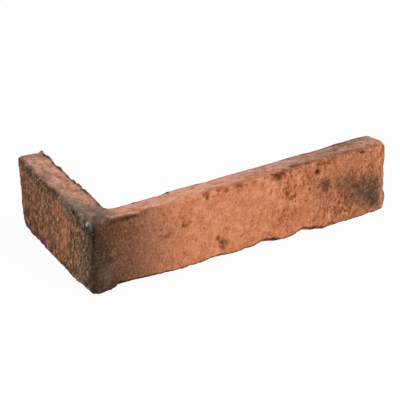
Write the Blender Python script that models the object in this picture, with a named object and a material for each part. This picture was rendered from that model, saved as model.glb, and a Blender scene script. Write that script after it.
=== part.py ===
# Concrete corner brick slip: a facing brick that goes round the outside corner
# of a wall, cast in one piece. In plan it is an L, with a long stretcher leg
# along +X and a short header leg along +Y. It stands on its bed, at z = 0, and
# the origin is under the middle of its box. The outside of the wall's corner
# fits into the inside of the L, against the two flat backs.
import math

import bmesh
import bpy
from mathutils import Vector, noise

# Driving sizes, in metres
STRETCHER_LENGTH = 0.215
HEADER_LENGTH = 0.108
HEIGHT = 0.051
THICKNESS = 0.018

# Rounding of the edges
CORNER_RADIUS = 0.005        # outside corner, seen from above
CORNER_CROWN = 0.0035        # how much rounder the arrises are at the corner
CORNER_CROWN_REACH = 0.012   # and how far along each leg that goes
FILLET_RADIUS = 0.002        # inside corner, seen from above
TOP_ARRIS = 0.0032           # front edge of the top
STRETCHER_BED_ARRIS = 0.0024 # front edge of the bed, on the long leg
HEADER_BED_ARRIS = 0.0012    # and on the short one
END_ARRIS = 0.0035           # free ends of the legs
BACK_ARRIS = 0.0008          # edges round the two backs
ARRIS_WEAR = 0.45            # share by which the front edges' rounding varies
ARRIS_WEAR_LENGTH = 0.021    # and the distance over which it does

# Rough face: waves in its depth, cast into the two faces that show
SWELL_DEPTH = 0.0009
SWELL_LENGTH = 0.034
RIPPLE_DEPTH = 0.0007
RIPPLE_LENGTH = 0.0095
END_DEPTH = 0.0011
END_RIPPLE_LENGTH = 0.012
FACE_REACH = 0.011           # how deep into the top and the bed the waves go
SWELL_LAYER = 0.4            # layers of the noise, one for each kind of wave
RIPPLE_LAYER = 1.9
WEAR_LAYER = 3.7
HEADER_LAYER = 5.1
STRETCHER_LAYER = 7.3

# Bed edge: height of the front bottom edge above the bed, against the
# distance from the outside corner
BED_REACH = 0.008
STRETCHER_BED_EDGE = (
    (0.000, 0.0012), (0.008, 0.0012), (0.014, 0.0020), (0.018, 0.0049),
    (0.034, 0.0038), (0.060, 0.0024), (0.075, 0.0026), (0.087, 0.0034),
    (0.098, 0.0023), (0.110, 0.0024), (0.123, 0.0043), (0.131, 0.0019),
    (0.141, 0.0015), (0.151, 0.0046), (0.160, 0.0024), (0.170, 0.0008),
    (0.180, 0.0010), (0.190, 0.0007), (0.206, 0.0016), (0.215, 0.0022),
)
HEADER_BED_EDGE = (
    (0.000, 0.0012), (0.016, 0.0010), (0.023, 0.0003), (0.030, 0.0000),
    (0.040, 0.0004), (0.058, 0.0000), (0.076, 0.0008), (0.084, 0.0006),
    (0.096, 0.0016), (0.108, 0.0026),
)

# Back edge: how far the top falls towards the backs, against the distance
# from the outside corner
STRETCHER_TOP_FALL = (
    (0.000, 0.0012), (0.018, 0.0016), (0.025, 0.0031), (0.055, 0.0030),
    (0.062, 0.0021), (0.075, 0.0020), (0.088, 0.0024), (0.100, 0.0020),
    (0.135, 0.0018), (0.150, 0.0012), (0.170, 0.0015), (0.185, 0.0006),
    (0.200, 0.0005), (0.208, 0.0011), (0.215, 0.0022),
)
HEADER_TOP_FALL = (
    (0.000, 0.0012), (0.018, 0.0006), (0.030, 0.0000), (0.055, 0.0002),
    (0.066, 0.0010), (0.076, 0.0004), (0.088, 0.0006), (0.098, 0.0000),
    (0.108, 0.0017),
)

# Hollows pressed into the front and over its edges: distance from the corner,
# negative on the header leg, height, half length, half height and depth. A
# height over the slip's own goes on over the edge, onto the top
HOLLOWS = (
    (0.133, 0.0505, 0.0055, 0.0040, 0.0016),
    (0.145, 0.0535, 0.0045, 0.0018, 0.0012),
    (0.161, 0.0455, 0.0028, 0.0028, 0.0018),
    (0.154, 0.0415, 0.0030, 0.0032, 0.0010),
    (0.142, 0.0350, 0.0040, 0.0050, 0.0009),
    (0.168, 0.0315, 0.0040, 0.0050, 0.0010),
    (0.090, 0.0110, 0.0034, 0.0048, 0.0014),
    (0.104, 0.0505, 0.0036, 0.0026, 0.0012),
    (0.079, 0.0510, 0.0034, 0.0030, 0.0011),
    (0.195, 0.0510, 0.0040, 0.0030, 0.0011),
    (0.186, 0.0440, 0.0040, 0.0090, 0.0008),
    (0.022, 0.0500, 0.0110, 0.0022, 0.0009),
    (-0.058, 0.0490, 0.0080, 0.0030, 0.0012),
    (-0.030, 0.0490, 0.0050, 0.0030, 0.0010),
    (-0.092, 0.0500, 0.0060, 0.0040, 0.0009),
)

# Facets
ALONG_PITCH = 0.0033
HEIGHT_PITCH = 0.0036
DEPTH_PITCH = 0.0036
ARC_SPLIT = math.tan(math.radians(22.5))   # halves each side of a rounded edge
EDGE_GAP = 0.000001          # two places closer than this are the same

COLLECTION_NAME = "corner_brick_slip"
NODE_NAME = "corner_slip"


def clear_scene():
    for item in list(bpy.data.objects):
        bpy.data.objects.remove(item, do_unlink=True)


def spaced(start, end, pitch):
    count = max(1, round((end - start) / pitch))
    return [start + (end - start) * step / count for step in range(count + 1)]


def edge_cuts(low, high, low_edge, high_edge, pitch):
    """Cuts across a length, with a pair for the rounding at each end."""
    cuts = [low + low_edge * (1 - ARC_SPLIT)]
    cuts += spaced(low + low_edge, high - high_edge, pitch)
    cuts.append(high - high_edge * (1 - ARC_SPLIT))
    return cuts


def along_cuts():
    """Cuts along the unfolded slip, measured from the outside corner."""
    bend = THICKNESS + FILLET_RADIUS
    cuts = [-HEADER_LENGTH + END_ARRIS * (1 - ARC_SPLIT)]
    cuts += spaced(END_ARRIS - HEADER_LENGTH, -bend, ALONG_PITCH)
    cuts += spaced(-bend, -CORNER_RADIUS, ALONG_PITCH)[1:]
    cuts += spaced(-CORNER_RADIUS, CORNER_RADIUS, CORNER_RADIUS / 3)[1:]
    cuts += spaced(CORNER_RADIUS, bend, ALONG_PITCH)[1:]
    cuts += spaced(bend, STRETCHER_LENGTH - END_ARRIS, ALONG_PITCH)[1:]
    cuts.append(STRETCHER_LENGTH - END_ARRIS * (1 - ARC_SPLIT))
    return cuts


def straight_slab():
    """The slip unfolded: x runs along it, y goes into its depth, z up."""
    slab = bmesh.new()
    bmesh.ops.create_cube(slab, size=1.0)
    for vert in slab.verts:
        x = STRETCHER_LENGTH if vert.co.x > 0 else -HEADER_LENGTH
        y = THICKNESS if vert.co.y > 0 else 0.0
        z = HEIGHT if vert.co.z > 0 else 0.0
        vert.co = Vector((x, y, z))
    cut_sets = (
        (Vector((1, 0, 0)), along_cuts()),
        (Vector((0, 1, 0)), edge_cuts(0.0, THICKNESS, TOP_ARRIS, BACK_ARRIS, DEPTH_PITCH)),
        (Vector((0, 0, 1)), edge_cuts(0.0, HEIGHT, STRETCHER_BED_ARRIS, TOP_ARRIS, HEIGHT_PITCH)),
    )
    for axis, cuts in cut_sets:
        for cut in cuts:
            geometry = slab.verts[:] + slab.edges[:] + slab.faces[:]
            bmesh.ops.bisect_plane(
                slab, geom=geometry, dist=1e-7, plane_co=axis * cut, plane_no=axis)
    return slab


def smooth_step(value):
    value = min(1.0, max(0.0, value))
    return value * value * (3.0 - 2.0 * value)


def read_edge(points, distance):
    """Height of a wavy edge at a distance, eased between its points."""
    if distance <= points[0][0]:
        return points[0][1]
    for (start, low), (end, high) in zip(points, points[1:]):
        if distance <= end:
            return low + (high - low) * smooth_step((distance - start) / (end - start))
    return points[-1][1]


def wave(along, height, length, layer):
    """Smooth noise from -1 to 1 with bumps of about the given length."""
    return noise.noise(Vector((along / length, height / length, layer)))


def near_corner(along):
    return math.exp(-(along / CORNER_CROWN_REACH) ** 2)


def front_arris(along, height):
    share = smooth_step(height / HEIGHT)
    turn = smooth_step(along / CORNER_RADIUS)
    bed = HEADER_BED_ARRIS + (STRETCHER_BED_ARRIS - HEADER_BED_ARRIS) * turn
    arris = bed + (TOP_ARRIS - bed) * share
    wear = 1.0 + ARRIS_WEAR * wave(along, height, ARRIS_WEAR_LENGTH, WEAR_LAYER)
    return arris * wear + CORNER_CROWN * near_corner(along) * share


def edge_place(value, length, low_cut, high_cut, low_radius, high_radius):
    """Splits a coordinate into the centre of its rounding and its share of it."""
    if value < low_cut:
        return low_radius, (value - low_cut) / low_cut, low_radius
    if value > length - high_cut:
        share = (value - length + high_cut) / high_cut
        return length - high_radius, share, high_radius
    share = (value - low_cut) / (length - low_cut - high_cut)
    return low_radius + share * (length - low_radius - high_radius), 0.0, 0.0


def rounded(point):
    """Moves a point of the square slab onto the slab with rounded edges.

    Gives the moved point and the direction that faces out of the slab there.
    """
    along, depth, height = point
    total = HEADER_LENGTH + STRETCHER_LENGTH
    front = front_arris(along, height)
    share = smooth_step(depth / THICKNESS)
    level = front + (BACK_ARRIS - front) * share
    places = (
        edge_place(along + HEADER_LENGTH, total, END_ARRIS, END_ARRIS, level, level),
        edge_place(depth, THICKNESS, TOP_ARRIS, BACK_ARRIS, front, BACK_ARRIS),
        edge_place(height, HEIGHT, STRETCHER_BED_ARRIS, TOP_ARRIS, level, level),
    )
    centre = Vector([place[0] for place in places])
    turn = Vector([place[1] for place in places])
    turn *= max(abs(part) for part in turn) / turn.length
    moved = [centre[axis] + turn[axis] * places[axis][2] for axis in range(3)]
    return Vector((moved[0] - HEADER_LENGTH, moved[1], moved[2])), turn


def hollow_depth(along, depth, height):
    """Depth of the hollows at a point of the front or the top."""
    if height > HEIGHT - EDGE_GAP:
        height += depth
    pressed = 0.0
    for place, level, half_length, half_height, deep in HOLLOWS:
        reach = ((along - place) / half_length) ** 2 + ((height - level) / half_height) ** 2
        pressed += deep * math.exp(-reach)
    return pressed * fade(depth, FACE_REACH)


def face_depth(along, height):
    swell = SWELL_DEPTH * wave(along, height, SWELL_LENGTH, SWELL_LAYER)
    ripple = RIPPLE_DEPTH * wave(along, height, RIPPLE_LENGTH, RIPPLE_LAYER)
    return swell + ripple


def end_depth(depth, height, layer):
    return END_DEPTH * wave(depth, height, END_RIPPLE_LENGTH, layer)


def bed_lift(along):
    edge = STRETCHER_BED_EDGE if along > 0 else HEADER_BED_EDGE
    return read_edge(edge, abs(along))


def top_fall(along):
    edge = STRETCHER_TOP_FALL if along > 0 else HEADER_TOP_FALL
    return read_edge(edge, abs(along))


def is_level(value, low, high):
    return low - EDGE_GAP <= value <= high + EDGE_GAP


def clear_of_arrises(points):
    """The points of the square slab that no rounding moves off their faces."""
    top = HEIGHT - TOP_ARRIS
    return [p for p in points if is_level(p.z, STRETCHER_BED_ARRIS, top)]


def fade(value, reach):
    return 1.0 - smooth_step(value / reach)


def wavy(slab_points, round_points):
    """Adds the waves of the faces, the ends, the bed edge and the top, and the hollows.

    The proudest point of each rough face stays on that face's plane.
    """
    level = clear_of_arrises(slab_points)
    front = [p for p in level if p.y == 0.0]
    header_front = min(face_depth(p.x, p.z) for p in front if p.x < -CORNER_RADIUS)
    stretcher_front = min(face_depth(p.x, p.z) for p in front if p.x > CORNER_RADIUS)
    inside = [p for p in level if is_level(p.y, TOP_ARRIS, THICKNESS - BACK_ARRIS)]
    header_end = min(end_depth(p.y, p.z, HEADER_LAYER) for p in inside)
    stretcher_end = min(end_depth(p.y, p.z, STRETCHER_LAYER) for p in inside)
    result = []
    for flat, (shaped, outward) in zip(slab_points, round_points):
        along, depth, height = flat
        turn = smooth_step((along + CORNER_RADIUS) / (2 * CORNER_RADIUS))
        proudest = header_front + (stretcher_front - header_front) * turn
        face = max(0.0, face_depth(along, height) - proudest) * fade(depth, FACE_REACH)
        header = max(0.0, end_depth(depth, height, HEADER_LAYER) - header_end)
        header *= fade(along + HEADER_LENGTH, FACE_REACH)
        stretcher = max(0.0, end_depth(depth, height, STRETCHER_LAYER) - stretcher_end)
        stretcher *= fade(STRETCHER_LENGTH - along, FACE_REACH)
        lift = bed_lift(along) * fade(depth, BED_REACH) * fade(height, HEIGHT)
        fall = top_fall(along) * smooth_step(depth / THICKNESS) * smooth_step(height / HEIGHT)
        waves = Vector((header - stretcher, face, lift - fall))
        result.append(shaped + waves - outward * hollow_depth(along, depth, height))
    return result


def outer_point(along):
    """Plan of the two faces that show, round the outside corner."""
    if along <= -CORNER_RADIUS:
        return Vector((0.0, -along))
    if along >= CORNER_RADIUS:
        return Vector((along, 0.0))
    angle = (along + CORNER_RADIUS) / CORNER_RADIUS * math.pi / 4
    return Vector((1 - math.cos(angle), 1 - math.sin(angle))) * CORNER_RADIUS


def inner_point(along):
    """Plan of the two backs, round the fillet of the inside corner."""
    bend = THICKNESS + FILLET_RADIUS
    if along <= -bend:
        return Vector((THICKNESS, -along))
    if along >= bend:
        return Vector((along, THICKNESS))
    angle = (along + bend) / bend * math.pi / 4
    centre = Vector((bend, bend))
    return centre - Vector((math.cos(angle), math.sin(angle))) * FILLET_RADIUS


def folded(point):
    """Folds the slab round the wall's corner and centres its box."""
    along, depth, height = point
    outer = outer_point(along)
    plan = outer + (inner_point(along) - outer) * (depth / THICKNESS)
    return Vector((plan.x - STRETCHER_LENGTH / 2, plan.y - HEADER_LENGTH / 2, height))


def shape_slab(slab):
    slab_points = [vert.co.copy() for vert in slab.verts]
    round_points = [rounded(point) for point in slab_points]
    for vert, point in zip(slab.verts, wavy(slab_points, round_points)):
        vert.co = folded(point)


def concrete_material():
    material = bpy.data.materials.new("terracotta_concrete")
    material.use_nodes = True
    shader = material.node_tree.nodes["Principled BSDF"]
    shader.inputs["Base Color"].default_value = (0.56, 0.22, 0.13, 1.0)
    shader.inputs["Roughness"].default_value = 0.92
    shader.inputs["Metallic"].default_value = 0.0
    return material


def build():
    clear_scene()
    collection = bpy.data.collections.new(COLLECTION_NAME)
    bpy.context.scene.collection.children.link(collection)
    slab = straight_slab()
    shape_slab(slab)
    mesh = bpy.data.meshes.new(NODE_NAME)
    slab.to_mesh(mesh)
    slab.free()
    mesh.materials.append(concrete_material())
    mesh.shade_smooth()
    collection.objects.link(bpy.data.objects.new(NODE_NAME, mesh))


build()
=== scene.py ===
import math
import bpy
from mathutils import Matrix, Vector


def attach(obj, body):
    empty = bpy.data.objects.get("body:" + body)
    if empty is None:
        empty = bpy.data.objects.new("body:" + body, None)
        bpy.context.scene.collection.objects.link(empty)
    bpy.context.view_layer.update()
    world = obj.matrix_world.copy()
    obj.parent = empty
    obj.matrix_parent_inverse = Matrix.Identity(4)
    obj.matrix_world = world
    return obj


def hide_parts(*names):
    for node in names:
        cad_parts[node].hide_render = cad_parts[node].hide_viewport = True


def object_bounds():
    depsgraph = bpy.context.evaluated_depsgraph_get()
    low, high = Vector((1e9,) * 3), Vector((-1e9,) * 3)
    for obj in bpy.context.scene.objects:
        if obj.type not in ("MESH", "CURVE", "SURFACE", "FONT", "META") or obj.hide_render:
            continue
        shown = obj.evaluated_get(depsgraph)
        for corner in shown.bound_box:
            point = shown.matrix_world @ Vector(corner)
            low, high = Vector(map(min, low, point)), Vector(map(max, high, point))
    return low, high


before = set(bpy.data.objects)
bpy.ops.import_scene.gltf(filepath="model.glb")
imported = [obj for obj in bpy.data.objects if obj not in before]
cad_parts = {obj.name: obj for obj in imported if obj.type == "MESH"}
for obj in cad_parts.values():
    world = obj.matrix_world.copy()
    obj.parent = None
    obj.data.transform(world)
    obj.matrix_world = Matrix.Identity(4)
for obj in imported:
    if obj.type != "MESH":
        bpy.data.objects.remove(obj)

from types import SimpleNamespace

import bpy
import numpy as np
from mathutils import Matrix, Vector, noise

cadLow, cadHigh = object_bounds()
cadSize = cadHigh - cadLow
mm = 0.001                    # the tables are in millimetres, everything else in metres
edgeGap = 1e-6                # two places closer than this are the same

# Shape of the slip. The lengths come from the frame, the rest is the casting's own form. A ramp is
# where it starts and how wide it is
slipShape = {
    "thickness": 0.018,
    "cornerRadius": 0.005,
    "cornerCrown": 0.0035,
    "cornerCrownReach": 0.012,
    "filletRadius": 0.002,
    "topArris": 0.0032,
    "stretcherBedArris": 0.0014,
    "headerBedArris": 0.0012,
    "endArris": 0.0035,
    "backArris": 0.0008,
    "arrisWear": 0.45,
    "arrisWearLength": 0.021,
    "endSharpness": 0.70,
    "swellDepth": 0.0009,
    "swellLength": 0.034,
    "rippleDepth": 0.0007,
    "rippleLength": 0.0095,
    "headerWave": 0.45,
    "endDepth": 0.0005,
    "endRippleLength": 0.007,
    "endRound": 0.0018,
    "endRoundDepth": (0.006, 0.012),
    "endRoundLevel": (0.034, 0.014),
    "endRoundPower": 1.5,
    "crumbDepth": 0.0008,
    "crumbLength": 0.0026,
    "crumbHeight": 0.005,
    "faceReach": 0.011,
    "bedReach": 0.0075,
    "bedSpread": 0.70,
    "layers": {                # of the noise, one for each kind of wave
        "swell": 0.4, "ripple": 1.9, "wear": 3.7, "header": 5.1, "stretcher": 7.3, "crumbs": 9.2,
    },
}
headerLength = cadSize.y
stretcherLength = cadSize.x
slipHeight = cadSize.z

# Height of the front bottom edge over the bed, against the distance from the outside corner
bedEdge = {
    "stretcher": (
        (0, 2.2), (6, 1.5), (11, 2.2), (15.5, 3), (19, 5.8), (25, 5.2), (34, 4.4), (50, 3.6), (60, 2.6),
        (75, 2.6), (87, 3.8), (98, 2.6), (110, 3), (120, 5.2), (131, 2), (141, 2), (150, 5.4), (158, 2.5),
        (166, 0.7), (176, 0.9), (190, 0.9), (206, 2.1), (215, 3.6),
    ),
    "header": (
        (0, 1.8), (12, 1.8), (18, 1.2), (24, 0.2), (30, 0), (42, 0), (47, 0.2), (58, 0), (68, 0.2),
        (76, 0.8), (84, 1), (90, 0.6), (96, 1.8), (108, 3.2),
    ),
}

# Fall of the top towards the backs, against the distance from the outside corner
topFall = {
    "stretcher": (
        (0, 1.2), (18, 1.6), (25, 3.1), (55, 3), (62, 2.1), (75, 2), (88, 2.4), (100, 2), (135, 1.8),
        (150, 1.2), (170, 1.5), (185, 0.6), (200, 0.5), (208, 1.1), (215, 2.2),
    ),
    "header": (
        (0, 1.2), (18, 0.6), (30, 0), (55, 0.2), (66, 1), (76, 0.4), (88, 0.6), (98, 0), (108, 1.7),
    ),
}

# Inset of the two ends, against the height over the bed
endInset = {
    "stretcher": (
        (0, 1), (2, 0.6), (6, 0.3), (9, 0.1), (13, 0.8), (16, 0.2), (20, 0.6), (24, 1), (30, 1),
        (34, 0.3), (44, 0), (48, 0.2), (51, 1),
    ),
    "header": (
        (0, 5.2), (4, 3), (8, 1.6), (12, 1.8), (19, 1.4), (23, 1.9), (27, 1.5), (31, 1), (38, 0.6),
        (42, 0.6), (46, 0), (51, 0.5),
    ),
}


def smoothStep(value):
    value = np.clip(value, 0.0, 1.0)
    return value * value * (3.0 - 2.0 * value)


def fade(value, reach):
    return 1.0 - smoothStep(value / reach)


def ramp(value, start, width):
    return smoothStep((value - start) / width)


def shareAt(value, first, more, start, width):
    return first + more * ramp(value, start, width)


def readEdge(points, distance):
    places, values = np.array(points, float).T * mm
    spot = np.interp(distance, places, np.arange(len(places)))
    low = np.clip(np.floor(spot).astype(int), 0, len(places) - 2)
    return values[low] + (values[low + 1] - values[low]) * smoothStep(spot - low)


# Smooth noise from -1 to 1 with bumps of about the given length
def wave(along, level, length, layer):
    return np.array([noise.noise((a, b, layer)) for a, b in zip(along / length, level / length)])


def legEdge(edges, along):
    stretcher = readEdge(edges["stretcher"], along)
    header = readEdge(edges["header"], -along)
    return np.where(along > 0, stretcher, header)


# Splits a coordinate into the centre of its rounding, its share of it and the radius
def edgePlace(value, length, lowCut, highCut, lowRadius, highRadius):
    lowShare = (value - lowCut) / lowCut
    highShare = (value - length + highCut) / highCut
    middle = (value - lowCut) / (length - lowCut - highCut)
    centre = lowRadius + middle * (length - lowRadius - highRadius)
    isLow, isHigh = value < lowCut, value > length - highCut
    centre = np.where(isLow, lowRadius, np.where(isHigh, length - highRadius, centre))
    share = np.where(isLow, lowShare, np.where(isHigh, highShare, 0.0))
    radius = np.where(isLow, lowRadius, np.where(isHigh, highRadius, 0.0))
    return centre, share, radius


# The places of the square slab on the slab with rounded edges, and the way out of it there
def roundEdges(along, depth, level):
    s = slipShape
    share = smoothStep(level / slipHeight)
    turn = smoothStep(along / s["cornerRadius"])
    bed = s["headerBedArris"] + (s["stretcherBedArris"] - s["headerBedArris"]) * turn
    front = bed + (s["topArris"] - bed) * share
    front = front * (1 + s["arrisWear"] * wave(along, level, s["arrisWearLength"], s["layers"]["wear"]))
    front = front + s["cornerCrown"] * np.exp(-(along / s["cornerCrownReach"]) ** 2) * share
    radius = front + (s["backArris"] - front) * smoothStep(depth / s["thickness"])
    total = headerLength + stretcherLength
    toEnd = np.minimum(along + headerLength, stretcherLength - along)
    end = radius * (1 - s["endSharpness"] * fade(toEnd, s["faceReach"]))
    back = s["backArris"] + 0 * depth
    places = (
        edgePlace(along + headerLength, total, s["endArris"], s["endArris"], end, end),
        edgePlace(depth, s["thickness"], s["topArris"], s["backArris"], front, back),
        edgePlace(level, slipHeight, s["stretcherBedArris"], s["topArris"], radius, radius),
    )
    turn = np.stack([place[1] for place in places])
    length = np.linalg.norm(turn, axis=0)
    turn = turn * np.abs(turn).max(axis=0) / np.maximum(length, 1e-9)
    moved = [place[0] + turn[axis] * place[2] for axis, place in enumerate(places)]
    return np.stack([moved[0] - headerLength, moved[1], moved[2]]), turn


# Line of the plan round the corner, at this inset from the two fronts
def planLine(along, inset, radius):
    bend = inset + radius
    angle = np.clip((along + bend) / bend, 0, 2) * math.pi / 4
    x = np.where(along >= bend, along, np.where(along <= -bend, inset, bend - radius * np.cos(angle)))
    y = np.where(along >= bend, inset, np.where(along <= -bend, -along, bend - radius * np.sin(angle)))
    return x, y


# Folds the slab round the wall's corner and centres its box
def foldPlan(along, depth, level):
    thickness = slipShape["thickness"]
    outerX, outerY = planLine(along, 0, slipShape["cornerRadius"])
    innerX, innerY = planLine(along, thickness, slipShape["filletRadius"])
    share = depth / thickness
    x = outerX + (innerX - outerX) * share - stretcherLength / 2
    y = outerY + (innerY - outerY) * share - headerLength / 2
    return x, y, level


# Objects and nodes

def addNode(tree, kind, label="", **settings):
    node = tree.nodes.new(kind)
    node.label = label
    for key, value in settings.items():
        setattr(node, key, value)
    return node


def addObject(name, data):
    thing = bpy.data.objects.new(name, data)
    bpy.context.scene.collection.objects.link(thing)
    return thing


def feed(tree, socket, value):
    if isinstance(value, bpy.types.NodeSocket):
        tree.links.new(value, socket)
    else:
        socket.default_value = value


def maths(tree, operation, first, second, clamp=False):
    node = addNode(tree, "ShaderNodeMath", operation=operation, use_clamp=clamp)
    feed(tree, node.inputs[0], first)
    feed(tree, node.inputs[1], second)
    return node.outputs[0]


def scaleBy(tree, vector, factor):
    node = addNode(tree, "ShaderNodeVectorMath", operation="SCALE")
    feed(tree, node.inputs[0], vector)
    feed(tree, node.inputs["Scale"], factor)
    return node.outputs[0]


def separate(tree, vector):
    node = addNode(tree, "ShaderNodeSeparateXYZ")
    tree.links.new(vector, node.inputs[0])
    return node.outputs


def combine(tree, *values):
    node = addNode(tree, "ShaderNodeCombineXYZ")
    for socket, value in zip(node.inputs, values):
        tree.links.new(value, socket)
    return node.outputs[0]


def stretch(tree, vector, factors):
    node = addNode(tree, "ShaderNodeVectorMath", operation="MULTIPLY")
    feed(tree, node.inputs[0], vector)
    node.inputs[1].default_value = factors
    return node.outputs[0]


def spread(tree, value, low, high, newLow=0.0, newHigh=1.0, smooth=True):
    node = addNode(tree, "ShaderNodeMapRange")
    node.interpolation_type = "SMOOTHSTEP" if smooth else "LINEAR"
    for socket, number in zip(node.inputs, (value, low, high, newLow, newHigh)):
        feed(tree, socket, number)
    return node.outputs[0]


def cloud(tree, vector, scale, detail=3.0, rough=0.5, warp=0.0):
    node = addNode(tree, "ShaderNodeTexNoise", noise_dimensions="3D")
    feed(tree, node.inputs["Vector"], vector)
    feed(tree, node.inputs["Scale"], scale)
    node.inputs["Detail"].default_value = detail
    node.inputs["Roughness"].default_value = rough
    node.inputs["Distortion"].default_value = warp
    return node.outputs["Fac"]


# Lattice of the unfolded slip

latticeSizes = {"Along": 600, "Depth": 34, "Level": 94}


def runTree(target, tree, values):
    modifier = target.modifiers.new(tree.name, "NODES")
    modifier.node_group = tree
    for item in tree.interface.items_tree:
        if item.item_type == "SOCKET" and item.in_out == "INPUT" and item.name in values:
            modifier[item.identifier] = values[item.name]
    graph = bpy.context.evaluated_depsgraph_get()
    mesh = bpy.data.meshes.new_from_object(target.evaluated_get(graph))
    target.modifiers.remove(modifier)
    return mesh


def newTree(name, sizes, kind):
    tree = bpy.data.node_groups.new(name, "GeometryNodeTree")
    for way in ("INPUT", "OUTPUT"):
        tree.interface.new_socket("Geometry", in_out=way, socket_type="NodeSocketGeometry")
    for size in sizes:
        tree.interface.new_socket(size, in_out="INPUT", socket_type=kind)
    return tree, tree.nodes.new("NodeGroupInput").outputs


def finishTree(tree, geometry, material):
    whole = tree.nodes.new("GeometryNodeRealizeInstances")
    finish = tree.nodes.new("GeometryNodeSetMaterial")
    finish.inputs["Material"].default_value = material
    end = tree.nodes.new("NodeGroupOutput")
    tree.links.new(geometry, whole.inputs["Geometry"])
    tree.links.new(whole.outputs["Geometry"], finish.inputs["Geometry"])
    tree.links.new(finish.outputs["Geometry"], end.inputs["Geometry"])
    return tree


def latticeTree(material):
    tree, given = newTree("slipLattice", latticeSizes, "NodeSocketInt")
    box = addNode(tree, "GeometryNodeMeshCube", "unfolded slip")
    box.inputs["Size"].default_value = (1, 1, 1)
    for name, side in zip(latticeSizes, "XYZ"):
        tree.links.new(given[name], box.inputs["Vertices " + side])
    return finishTree(tree, box.outputs["Mesh"], material)


reliefSizes = {
    "Mottle Size": 0.0052,
    "Mottle Depth": 0.0011,
    "Grain Size": 0.0015,
    "Grain Depth": 0.0006,
    "Stroke Width": 0.0025,
    "Stroke Length": 0.0054,
    "Stroke Lean": 0.20,
    "Stroke Depth": 0.0012,
    "Pit Spacing": 0.0050,
    "Pit Share": 0.42,
    "Pit Depth": 0.0005,
}


def reliefTree(material):
    tree, given = newTree("castRelief", reliefSizes, "NodeSocketFloat")
    place = tree.nodes.new("GeometryNodeInputPosition").outputs[0]
    normal = tree.nodes.new("GeometryNodeInputNormal").outputs[0]

    def stored(name, kind="FLOAT"):
        node = addNode(tree, "GeometryNodeInputNamedAttribute", data_type=kind)
        node.inputs["Name"].default_value = name
        return node.outputs["Attribute"]

    def scaled(vector, size):
        return scaleBy(tree, vector, maths(tree, "DIVIDE", 1.0, size))

    def centred(vector, size, detail=2.0):
        return maths(tree, "SUBTRACT", cloud(tree, scaled(vector, size), 1.0, detail), 0.5)

    def times(first, second):
        return maths(tree, "MULTIPLY", first, second)

    mottle = times(centred(place, given["Mottle Size"]), given["Mottle Depth"])
    grain = times(centred(place, given["Grain Size"], 3.0), given["Grain Depth"])

    # Strokes: short upright creases that the sand of the mould leaves, leaning a little
    x, y, z = separate(tree, stored("castPlace", "FLOAT_VECTOR"))
    across = maths(tree, "SUBTRACT", x, times(z, given["Stroke Lean"]))
    across = maths(tree, "DIVIDE", across, given["Stroke Width"])
    inward = maths(tree, "DIVIDE", y, given["Stroke Width"])
    upright = combine(tree, across, inward, maths(tree, "DIVIDE", z, given["Stroke Length"]))
    stroke = maths(tree, "SUBTRACT", cloud(tree, upright, 1.0, 2.0, 0.55, 0.35), 0.5)
    strokes = times(times(stroke, stored("fibre")), given["Stroke Depth"])

    # Pits: one in some of the cells, each of its own width and with a broken rim
    cells = addNode(tree, "ShaderNodeTexVoronoi", voronoi_dimensions="3D", feature="F1")
    rim = centred(place, given["Grain Size"])
    shaken = addNode(tree, "ShaderNodeVectorMath", operation="ADD")
    tree.links.new(scaled(place, given["Pit Spacing"]), shaken.inputs[0])
    tree.links.new(times(rim, 0.9), shaken.inputs[1])
    tree.links.new(shaken.outputs[0], cells.inputs["Vector"])
    feed(tree, cells.inputs["Scale"], 1.0)
    lots = addNode(tree, "FunctionNodeSeparateColor")
    tree.links.new(cells.outputs["Color"], lots.inputs[0])
    chance = times(stored("pitting"), given["Pit Share"])
    chosen = maths(tree, "LESS_THAN", lots.outputs[0], chance)
    width = spread(tree, lots.outputs[1], 0, 1, 0.14, 0.36, smooth=False)
    bowl = spread(tree, cells.outputs["Distance"], times(width, 0.2), width, 1.0, 0.0)
    bowl = times(bowl, chosen)
    bowl = times(bowl, spread(tree, lots.outputs[2], 0, 1, 0.35, 1))
    pit = times(bowl, given["Pit Depth"])

    rise = maths(tree, "ADD", mottle, grain)
    rise = maths(tree, "ADD", times(rise, stored("rough")), strokes)
    rise = maths(tree, "SUBTRACT", rise, pit)
    move = tree.nodes.new("GeometryNodeSetPosition")
    tree.links.new(scaleBy(tree, normal, rise), move.inputs["Offset"])
    shape = given["Geometry"]
    # The relief's height and the pits' bowls are kept for the painted shade in the hollows and pits of
    # the material
    riseInMm = maths(tree, "DIVIDE", rise, mm)
    for name, value in (("bowl", bowl), ("stroke", stroke), ("rise", riseInMm)):
        keepValue = addNode(tree, "GeometryNodeStoreNamedAttribute", data_type="FLOAT", domain="POINT")
        keepValue.inputs["Name"].default_value = name
        tree.links.new(value, keepValue.inputs["Value"])
        tree.links.new(shape, keepValue.inputs["Geometry"])
        shape = keepValue.outputs["Geometry"]
    tree.links.new(shape, move.inputs["Geometry"])
    return finishTree(tree, move.outputs["Geometry"], material)


# Hollows pressed into the front and over its edges: distance from the corner, negative on the header
# leg, height, half length, half height and depth. A height over the slip's own goes on over the edge,
# onto the top
castHollows = (
    (132, 48.8, 4.6, 3.6, 1.2), (145, 53.5, 4.5, 1.8, 1.2), (161.2, 43.2, 2.6, 2.6, 1),
    (154, 41.5, 3, 3.2, 1), (142, 35, 4, 5, 0.5), (168, 31.5, 4, 5, 1), (90, 11, 3.4, 4.8, 1.4),
    (104, 50.5, 3.6, 2.6, 1.2), (79, 51, 3.4, 3, 1.1), (195, 51, 4, 3, 1.1), (186, 44, 4, 9, 0.8),
    (22, 50, 11, 2.2, 0.9), (-58, 49, 8, 3, 1.2), (-30, 49, 5, 3, 1), (-92, 50, 6, 4, 0.9),
)
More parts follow.
